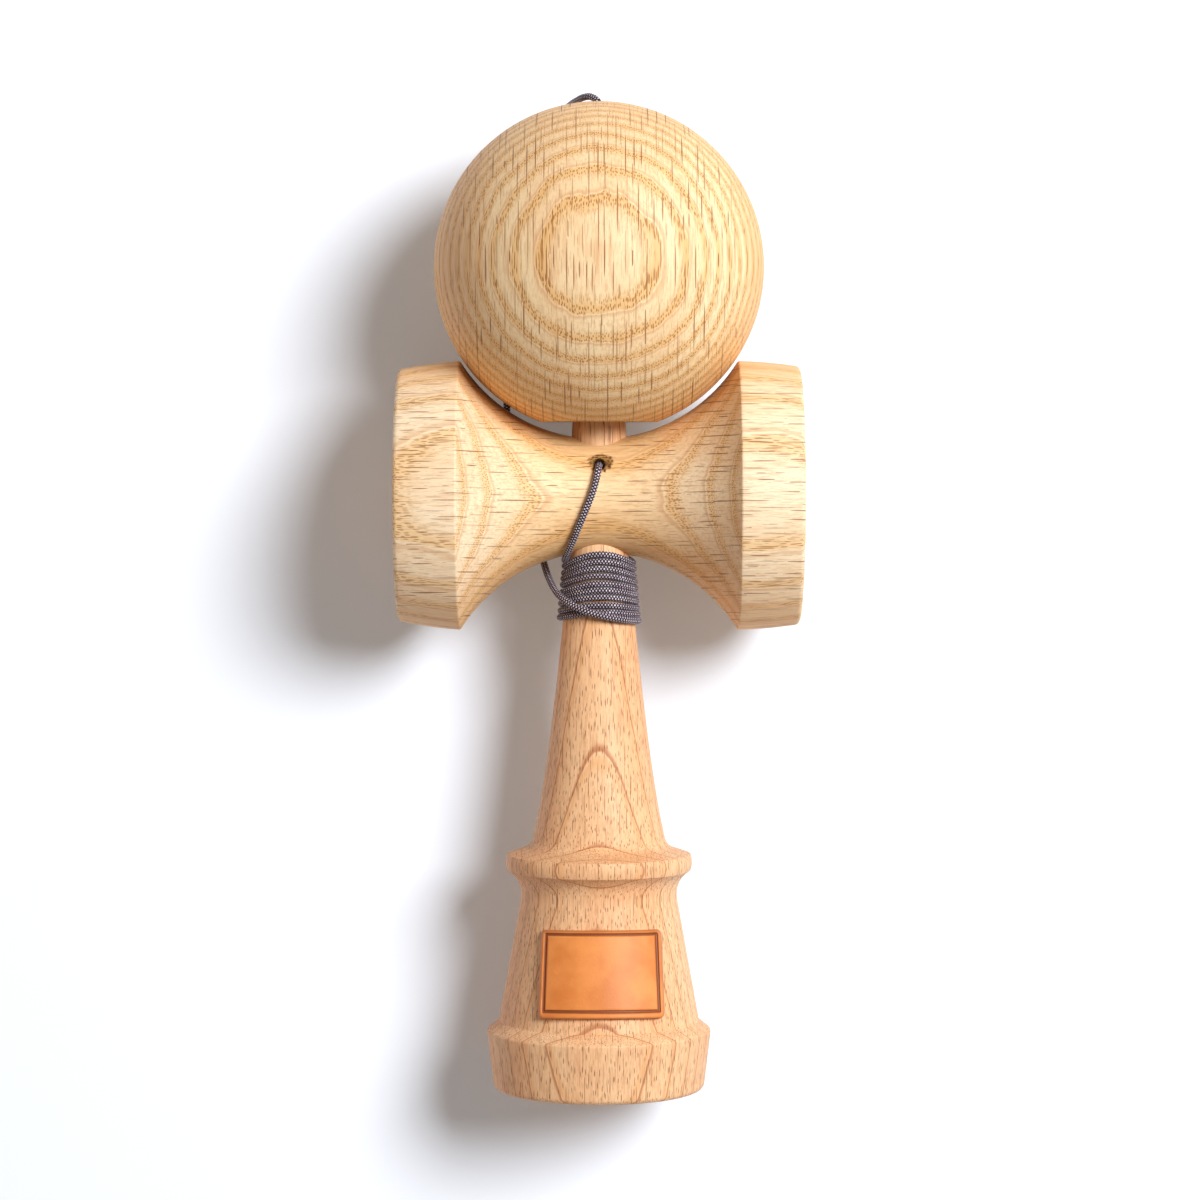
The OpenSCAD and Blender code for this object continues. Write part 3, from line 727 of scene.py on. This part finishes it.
def leather_piece():
    """Grid on the barrel's cone with rounded corners, a rolled edge and a pressed border line."""
    half_u, half_v = (PATCH_LOW_W + PATCH_TOP_W) / 4, (PATCH_TOP - PATCH_LOW) / 2
    u1, v1 = patch_lines(half_u), patch_lines(half_v)
    u = np.concatenate([-u1[::-1], u1[1:]])
    v = np.concatenate([-v1[::-1], v1[1:]])
    u, v = np.meshgrid(u, v)
    a = np.clip((np.abs(u) - (half_u - PATCH_ROUND)) / PATCH_ROUND, 0, 1)
    b = np.clip((np.abs(v) - (half_v - PATCH_ROUND)) / PATCH_ROUND, 0, 1)
    corner = (a > 0) & (b > 0)
    ra, rb = a * np.sqrt(1 - b * b / 2), b * np.sqrt(1 - a * a / 2)
    uu = np.where(corner, np.sign(u) * (half_u - PATCH_ROUND + PATCH_ROUND * ra), u)
    vv = np.where(corner, np.sign(v) * (half_v - PATCH_ROUND + PATCH_ROUND * rb), v)
    depth = np.where(corner, PATCH_ROUND * (1 - np.hypot(ra, rb)),
                     np.minimum(half_u - np.abs(u), half_v - np.abs(v)))
    h = PATCH_LOW + half_v + vv
    share = (h - PATCH_LOW) / (PATCH_TOP - PATCH_LOW)
    x = uu * (PATCH_LOW_W + (PATCH_TOP_W - PATCH_LOW_W) * share) / 2 / half_u
    edge = np.clip(depth / EDGE_ROLL, 0, 1)
    crown = np.sqrt(1 - (1 - edge) ** 2)
    far = border_line(x, h)
    line = np.exp(-(np.abs(far) / LINE_HALF) ** 4)
    field = FIELD_DEEP / (1 + np.exp(far / 0.08))
    thick = PATCH_T * (0.3 + 0.7 * crown) - LINE_DEEP * line * crown - field
    xs = x + PATCH_SHIFT
    hs = h - PATCH_SAG * (x / (PATCH_LOW_W / 2)) ** 2
    lean = math.hypot(1, BARREL_SLOPE)

    def on_cone(gap):
        r = barrel_radius(hs) + gap * lean
        return np.stack([xs, np.sqrt(r * r - xs * xs), hs - CROSS_H], -1)

    rows, columns = u.shape
    count = rows * columns
    top, under = on_cone(GLUE_GAP + thick), on_cone(GLUE_GAP)
    i = np.arange(rows - 1)[:, None] * columns
    k = np.arange(columns - 1)[None, :]
    face = np.stack([i + k, i + k + 1, i + columns + k + 1, i + columns + k], -1).reshape(-1, 4)
    rim = np.concatenate([np.arange(columns), np.arange(1, rows) * columns + columns - 1,
                          (rows - 1) * columns + np.arange(columns - 2, -1, -1),
                          np.arange(rows - 2, 0, -1) * columns])
    nxt = np.roll(rim, -1)
    walls = np.stack([rim, nxt, nxt + count, rim + count], -1)
    worn = np.exp(-(depth / 0.3) ** 2)
    ob = mesh_piece("leather_patch_pressed",
                    on_ken(np.concatenate([top.reshape(-1, 3), under.reshape(-1, 3)])),
                    np.concatenate([face, face[:, ::-1] + count, walls]), (),
                    {"line": np.concatenate([line.ravel(), np.zeros(count)]),
                     "rim": np.concatenate([worn.ravel(), np.ones(count)])})
    recalc(ob)
    return crisp(ob, 60)


patch = leather_piece()
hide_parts("leather_patch")
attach(patch, "ken")


def leather_material():
    w = new_look("leather_veg_tanned")
    co = w.add("ShaderNodeTexCoord").outputs["Object"]
    line = w.add("ShaderNodeAttribute", attribute_name="line").outputs["Fac"]
    rim = w.add("ShaderNodeAttribute", attribute_name="rim").outputs["Fac"]
    cloud = w.noise(co, 190.0, 3.0)
    grain = w.add("ShaderNodeTexVoronoi", {"Vector": co, "Scale": 3600.0}, feature="SMOOTH_F1")
    pits = w.noise(co, 5200.0, 3.0, 0.6)
    colour = w.mix(w.step(cloud, 0.3, 0.7), (0.66, 0.195, 0.035), (0.80, 0.28, 0.065))
    colour = w.mix(w.math("MULTIPLY", w.step(pits, 0.5, 0.75), 0.22), colour, (0.36, 0.105, 0.025))
    colour = w.mix(w.math("MULTIPLY", rim, 0.55), colour, (0.33, 0.105, 0.03))
    colour = w.mix(w.math("MULTIPLY", w.step(line, 0.25, 0.95), 0.88), colour, (0.15, 0.030, 0.006))
    height = w.math("ADD", grain.outputs["Distance"], w.math("MULTIPLY", pits, 0.5))
    bump = w.add("ShaderNodeBump", {"Height": height, "Strength": 0.22, "Distance": 0.00008})
    rough = w.math("ADD", 0.44, w.math("MULTIPLY", cloud, 0.16))
    return w.surface(colour, rough, bump, 0.45)


patch.data.materials.append(leather_material())


# Oak

Rings = namedtuple("Rings", "level period roll ripple zone line_share line_mm")
Vessels = namedtuple("Vessels", "spacing radius outside share wander")
Rays = namedtuple("Rays", "gap length depth half_thick half_long share")
Colours = namedtuple("Colours", "light tan porous late vessel ray")
# Painted shade: heights and tint of a warmer, darker colour painted towards the floor.
PaintedShade = namedtuple("PaintedShade", "high low tint")


def oak(name, grain, rings, vessels, rays, colours, turn=(0.0, 0.0, 0.0), torn=None, painted_shade=None):
    """Plain-sawn oak in millimetres: growth rings, open vessels along the grain, medullary rays and fibre.

    grain: the axis that the grain follows. rings: level of one ring and their period, slow roll and
    ripple, share of the porous zone, strength and width of the dark line. vessels: spacing, radius, share
    outside the porous zone, strength, wander. rays: gap, length and depth of their cells, half thickness,
    half length, strength. turn: lean of the piece. torn: place of a torn string hole. painted_shade: heights
    between which the wood is painted warmer and darker downwards, as painted shade on the lower parts,
    and the tint it then has.
    """
    w = new_look(name)
    light, tan, early, late, vessel, ray = colours
    coords = w.add("ShaderNodeTexCoord")
    co = coords.outputs["Object"]
    turned = w.add("ShaderNodeMapping", {"Vector": co, "Rotation": turn, "Scale": (1 / MM, 1 / MM, 1 / MM)})
    x, y, z = w.split(turned.outputs[0])
    along, across = (y, x) if grain == "y" else (x, y)

    def spread(u, v, t):
        return w.join(w.math("MULTIPLY", across, u), w.math("MULTIPLY", along, v), w.math("MULTIPLY", z, t))

    def about(value, size):
        return w.math("MULTIPLY", w.math("SUBTRACT", value, 0.5), size)

    def cells(place, random):
        """Cell pattern at a place, and the distance from the middle of its cell along each axis."""
        found = w.add("ShaderNodeTexVoronoi", {"Vector": place, "Scale": 1.0, "Randomness": random})
        off = w.add("ShaderNodeVectorMath", {0: place, 1: found.outputs["Position"]}, operation="SUBTRACT")
        return found, w.split(off.outputs[0])

    # Rings: level sheets that roll gently
    slow = w.noise(spread(0.050, 0.026, 0.03), 1.0, 2.0)
    fine = w.noise(spread(0.30, 0.10, 0.25), 1.0, 2.0)
    level = w.math("ADD", w.math("ADD", z, about(slow, rings.roll)), about(fine, rings.ripple))
    phase = w.math("FRACT", w.math("DIVIDE", w.math("SUBTRACT", level, rings.level), rings.period))
    porous = w.math("MULTIPLY", w.step(phase, 0.0, 0.06), w.step(phase, rings.zone, rings.zone * 0.35))
    width = rings.line_mm / rings.period
    line = w.math("MULTIPLY", w.step(phase, 1 - width, 1 - 0.3 * width), w.step(phase, 1.0, 1 - 0.2 * width))

    # Vessels: thin tubes that wander along the grain
    wx, _, wz = w.split(w.noise(spread(0.45, vessels.wander, 0.45), 1.0, 1.0, 0.5, 1))
    tube_co = w.join(w.math("ADD", w.math("DIVIDE", across, vessels.spacing), wx),
                     w.math("DIVIDE", along, 14.0),
                     w.math("ADD", w.math("DIVIDE", z, vessels.spacing), wz))
    _, (gx, _, gz) = cells(tube_co, 0.7)
    off = w.math("SQRT", w.math("ADD", w.math("MULTIPLY", gx, gx), w.math("MULTIPLY", gz, gz)))
    size = vessels.radius / vessels.spacing
    tubes = w.math("MULTIPLY", w.step(off, size * 1.35, size * 0.7),
                   w.math("MAXIMUM", porous, vessels.outside))

    # Rays: thin upright plates along the grain, seen as spindles on a level cut, left out where they lie flat
    nx, ny, _ = w.split(coords.outputs["Normal"])
    edge_on = w.step(w.math("ABSOLUTE", nx if grain == "y" else ny), 0.97, 0.72)

    def plates(gap_mm, length, depth, half_thick, half_long, seed):
        c = w.join(w.math("ADD", w.math("DIVIDE", across, gap_mm), seed), w.math("DIVIDE", along, length),
                   w.math("DIVIDE", z, depth))
        found, (dx, dy, _) = cells(c, 1.0)
        luck, other, _ = w.split(found.outputs["Color"])
        du = w.math("DIVIDE", dx, half_thick / gap_mm)
        dv = w.math("DIVIDE", dy, w.math("MULTIPLY", w.math("ADD", 0.3, luck), half_long / length))
        far = w.math("ADD", w.math("MULTIPLY", du, du), w.math("MULTIPLY", dv, dv))
        share = w.math("MULTIPLY", w.step(far, 1.0, 0.45), edge_on)
        return w.math("MULTIPLY", share, w.math("ADD", 0.4, w.math("MULTIPLY", other, 0.6)))

    big = plates(rays.gap, rays.length, rays.depth, rays.half_thick, rays.half_long, 0.0)
    small = plates(rays.gap * 0.45, rays.length * 0.45, rays.depth * 0.5, rays.half_thick * 0.55,
                   rays.half_long * 0.4, 37.0)

    # Fibre and slow drifts of colour
    fibre = w.noise(spread(2.1, 0.06, 2.1), 1.0, 3.0, 0.6)
    fleck = w.noise(spread(5.5, 0.8, 5.5), 1.0, 2.0, 0.6)
    drift = w.noise(spread(0.09, 0.018, 0.09), 1.0, 2.0)
    colour = w.mix(w.step(drift, 0.36, 0.64), light, tan)
    colour = w.mix(w.math("MULTIPLY", w.step(fibre, 0.42, 0.72), 0.46), colour, late)
    colour = w.mix(w.math("MULTIPLY", w.step(fleck, 0.5, 0.75), 0.32), colour, late)
    colour = w.mix(w.math("MULTIPLY", porous, 0.55), colour, early)
    colour = w.mix(w.math("MULTIPLY", line, rings.line_share), colour, late)
    # Painted shade: the colour turns warmer and darker towards the floor, where the lower parts lie in shade.
    if painted_shade:
        colour = w.mix(w.step(z, painted_shade.high, painted_shade.low), colour, painted_shade.tint, "MULTIPLY")
    colour = w.mix(w.math("MULTIPLY", tubes, vessels.share), colour, vessel)
    colour = w.mix(w.math("MULTIPLY", small, rays.share * 0.5), colour, ray)
    colour = w.mix(w.math("MULTIPLY", big, rays.share), colour, ray)
    sunk = w.math("ADD", w.math("MULTIPLY", tubes, -1.0), w.math("MULTIPLY", big, -0.4))
    raised = w.math("ADD", w.math("MULTIPLY", fibre, 0.3), w.math("MULTIPLY", fleck, 0.35))
    height = w.math("ADD", sunk, raised)
    if torn:
        hx, hy = torn
        dx, dy = w.math("SUBTRACT", x, hx), w.math("SUBTRACT", y, hy)
        ragged = w.noise(w.join(w.math("MULTIPLY", x, 1.1), w.math("MULTIPLY", y, 2.6), 0.0),
                         1.0, 3.0, 0.6)
        splinter = w.noise(w.join(w.math("MULTIPLY", x, 1.6), w.math("MULTIPLY", y, 5.0), 0.0),
                           1.0, 2.0, 0.6)
        wide = w.math("ADD", w.math("MULTIPLY", w.math("MULTIPLY", dx, dx), 0.14),
                      w.math("MULTIPLY", w.math("MULTIPLY", dy, dy), 0.42))
        ring = w.math("ADD", wide, about(ragged, 1.5))
        open_share = w.math("MULTIPLY", w.step(ring, 0.95, 0.55), w.step(z, 20.0, 25.0))
        inside = w.mix(w.step(splinter, 0.40, 0.60), (0.10, 0.040, 0.012), (0.52, 0.27, 0.075))
        colour = w.mix(open_share, colour, inside)
        height = w.math("ADD", height, w.math("MULTIPLY", w.math("MULTIPLY", open_share, splinter), 3.0))
    bump = w.add("ShaderNodeBump", {"Height": height, "Strength": 0.4, "Distance": 0.00009})
    rough = w.math("ADD", 0.44, w.math("MULTIPLY", fibre, 0.18))
    return w.surface(colour, rough, bump, 0.26)


ball.data.materials.append(oak(
    "oak_ball", "y",
    Rings(level=57.9, period=2.42, roll=2.8, ripple=1.0, zone=0.55, line_share=0.5, line_mm=0.41),
    Vessels(spacing=0.42, radius=0.105, outside=0.0, share=0.85, wander=0.3),
    Rays(gap=1.75, length=10.0, depth=26.0, half_thick=0.135, half_long=4.8, share=0.95),
    Colours(light=(0.89, 0.69, 0.405), tan=(0.86, 0.605, 0.335), porous=(0.74, 0.39, 0.105),
            late=(0.62, 0.32, 0.14), vessel=(0.36, 0.13, 0.022), ray=(0.26, 0.092, 0.028)),
    # Painted shade: the lower part of the ball is tinted warmer and darker.
    painted_shade=PaintedShade(high=55.0, low=34.0, tint=(1.0, 0.87, 0.70))))
sarado.data.materials.append(oak(
    "oak_cross", "x",
    Rings(level=37.1, period=4.5, roll=3.6, ripple=1.3, zone=0.42, line_share=0.5, line_mm=0.7),
    Vessels(spacing=0.42, radius=0.10, outside=0.0, share=0.8, wander=0.3),
    Rays(gap=1.5, length=7.5, depth=22.0, half_thick=0.105, half_long=3.3, share=0.95),
    Colours(light=(0.92, 0.74, 0.50), tan=(0.89, 0.655, 0.41), porous=(0.82, 0.50, 0.20),
            late=(0.64, 0.35, 0.16), vessel=(0.42, 0.185, 0.045), ray=(0.23, 0.09, 0.034)),
    # Painted shade: the waist and lower parts of the cross piece are tinted warmer and darker.
    torn=(0.25, 25.2), painted_shade=PaintedShade(high=42.0, low=31.0, tint=(1.0, 0.84, 0.62))))
ken.data.materials.append(oak(
    "oak_handle", "y",
    Rings(level=33.05, period=3.0, roll=0.6, ripple=0.25, zone=0.2, line_share=0.95, line_mm=0.32),
    Vessels(spacing=0.58, radius=0.066, outside=0.95, share=0.85, wander=0.04),
    Rays(gap=1.25, length=6.5, depth=1.1, half_thick=0.07, half_long=3.2, share=0.85),
    Colours(light=(0.87, 0.545, 0.295), tan=(0.84, 0.465, 0.235), porous=(0.78, 0.39, 0.16),
            late=(0.50, 0.20, 0.08), vessel=(0.17, 0.052, 0.013), ray=(0.20, 0.065, 0.022)),
    turn=(-LAY_TILT, 0.0, 0.0)))

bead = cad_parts["string_bead"]
bead.data.materials.clear()
bead.data.materials.append(oak(
    "oak_bead", "x",
    Rings(level=29.0, period=1.2, roll=1.0, ripple=0.3, zone=0.4, line_share=0.5, line_mm=0.2),
    Vessels(spacing=0.4, radius=0.05, outside=0.2, share=0.5, wander=0.3),
    Rays(gap=0.8, length=2.0, depth=10.0, half_thick=0.06, half_long=0.6, share=0.6),
    Colours(light=(0.72, 0.45, 0.23), tan=(0.66, 0.38, 0.18), porous=(0.66, 0.36, 0.15),
            late=(0.45, 0.22, 0.09), vessel=(0.25, 0.09, 0.03), ray=(0.27, 0.11, 0.045))))
